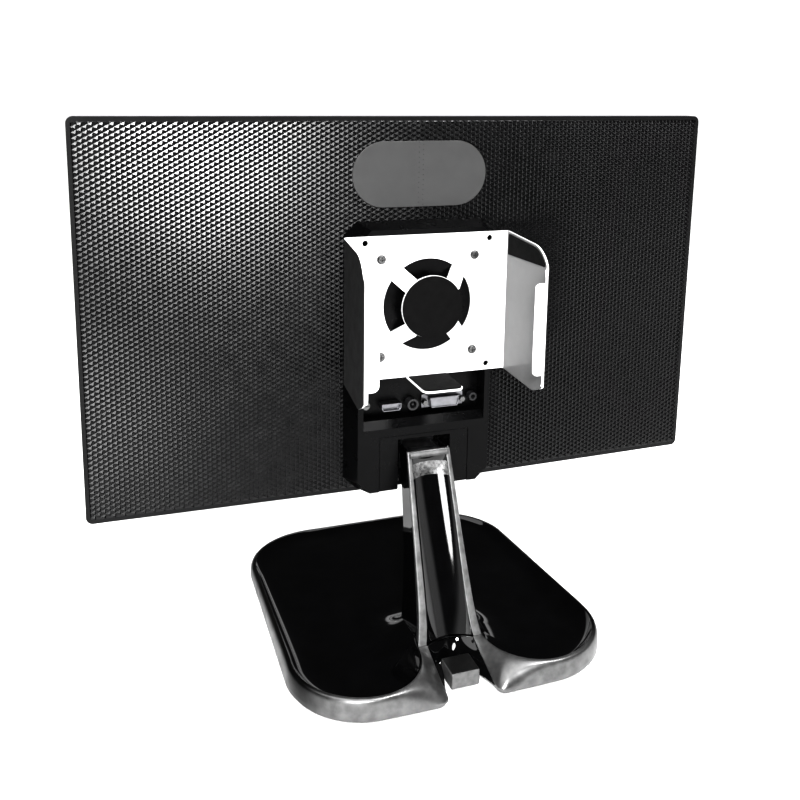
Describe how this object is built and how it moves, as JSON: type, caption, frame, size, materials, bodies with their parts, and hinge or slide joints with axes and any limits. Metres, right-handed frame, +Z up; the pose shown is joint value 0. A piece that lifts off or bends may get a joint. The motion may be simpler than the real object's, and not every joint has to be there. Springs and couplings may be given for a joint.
{
  "type": "desktop monitor with mini pc cradle",
  "caption": "Desktop monitor on a tilting pedestal stand, with an empty sheet-metal cradle for a mini PC on its back.",
  "frame": {"origin": "on the table under the middle of the whole object", "axes": "+Z up, the screen looks along -Y and the cradle opens along +Y, +X is to the viewer's left from behind"},
  "size_m": [0.505, 0.272, 0.405],
  "materials": {
    "bezel_black": "fine grain",
    "panel_glass": "anti-glare black screen",
    "white_diffuser": "smooth",
    "tray_steel": "galvanised sheet",
    "cover_black": "smooth border, satin",
    "relief_black": "staggered pyramids, semi-gloss",
    "badge_grey": "fine satin",
    "screw_black": "black zinc",
    "housing_black": "satin",
    "port_steel": "nickel plated",
    "port_plate_black": "satin black",
    "board_green": "solder mask",
    "lens_smoke": "clear smoke",
    "cradle_white": "satin white powder coat",
    "pad_black": "soft foam",
    "screw_nickel": "nickel",
    "hinge_steel": "oiled steel",
    "neck_gloss": "piano black",
    "base_silver": "metallic silver paint, satin",
    "base_gloss": "piano black",
    "weight_steel": "sheet steel",
    "foot_rubber": "matte"
  },
  "bodies": {
    "stand": {"neck_core": "hinge_steel", "neck_shell": "neck_gloss", "neck_trim": "base_silver", "neck_trough": "neck_gloss", "neck_collar": "base_gloss", "trough_foot": "neck_gloss", "base_rim": "base_silver", "base_dish": "base_gloss", "base_lock_block": "base_silver", "base_weight": "weight_steel", "base_bottom_cover": "bezel_black", "base_thumb_screw": "screw_black", "base_feet": "foot_rubber"},
    "display": {"front_bezel": "bezel_black", "lcd_panel": "panel_glass", "backlight_unit": "white_diffuser", "panel_chassis": "tray_steel", "rear_cover": "cover_black", "rear_relief_panel": "relief_black", "badge_plate": "badge_grey", "rear_cover_screws": "screw_black", "console_housing": "housing_black", "console_lower_cover": "housing_black", "port_plate": "port_plate_black", "power_inlet": "bezel_black", "hdmi_port": "port_steel", "dvi_port": "port_steel", "port_posts": "screw_nickel", "audio_jack": "bezel_black", "main_board": "board_green", "power_board": "board_green", "power_led_lens": "lens_smoke", "cradle_bracket": "cradle_white", "cradle_hub_pad": "pad_black", "cradle_shelf_pad": "pad_black", "cradle_wall_pads": "pad_black", "cradle_screws": "screw_nickel", "mount_inserts": "screw_nickel", "hinge_bracket": "hinge_steel", "hinge_pin": "hinge_steel", "hinge_washers": "hinge_steel"},
    "menu_key_1": {"menu_button_1": "bezel_black"},
    "menu_key_2": {"menu_button_2": "bezel_black"},
    "menu_key_3": {"menu_button_3": "bezel_black"},
    "menu_key_4": {"menu_button_4": "bezel_black"},
    "power_key": {"power_button": "bezel_black"}
  },
  "joints": [
    {"name": "screen_tilt", "type": "hinge", "parent": "stand", "child": "display", "pos_m": [0, 0.023, 0.141], "axis": [-1, 0, 0], "range_deg": [-5, 15]},
    {"name": "menu_key_1_press", "type": "slide", "parent": "display", "child": "menu_key_1", "axis": [0, 0, 1], "range_m": [0, 0.0008], "stiffness_N_per_m": 300, "springref_m": -0.0004},
    {"name": "menu_key_2_press", "type": "slide", "parent": "display", "child": "menu_key_2", "axis": [0, 0, 1], "range_m": [0, 0.0008], "stiffness_N_per_m": 300, "springref_m": -0.0004},
    {"name": "menu_key_3_press", "type": "slide", "parent": "display", "child": "menu_key_3", "axis": [0, 0, 1], "range_m": [0, 0.0008], "stiffness_N_per_m": 300, "springref_m": -0.0004},
    {"name": "menu_key_4_press", "type": "slide", "parent": "display", "child": "menu_key_4", "axis": [0, 0, 1], "range_m": [0, 0.0008], "stiffness_N_per_m": 300, "springref_m": -0.0004},
    {"name": "power_key_press", "type": "slide", "parent": "display", "child": "power_key", "axis": [0, 0, 1], "range_m": [0, 0.0008], "stiffness_N_per_m": 300, "springref_m": -0.0004}
  ]
}
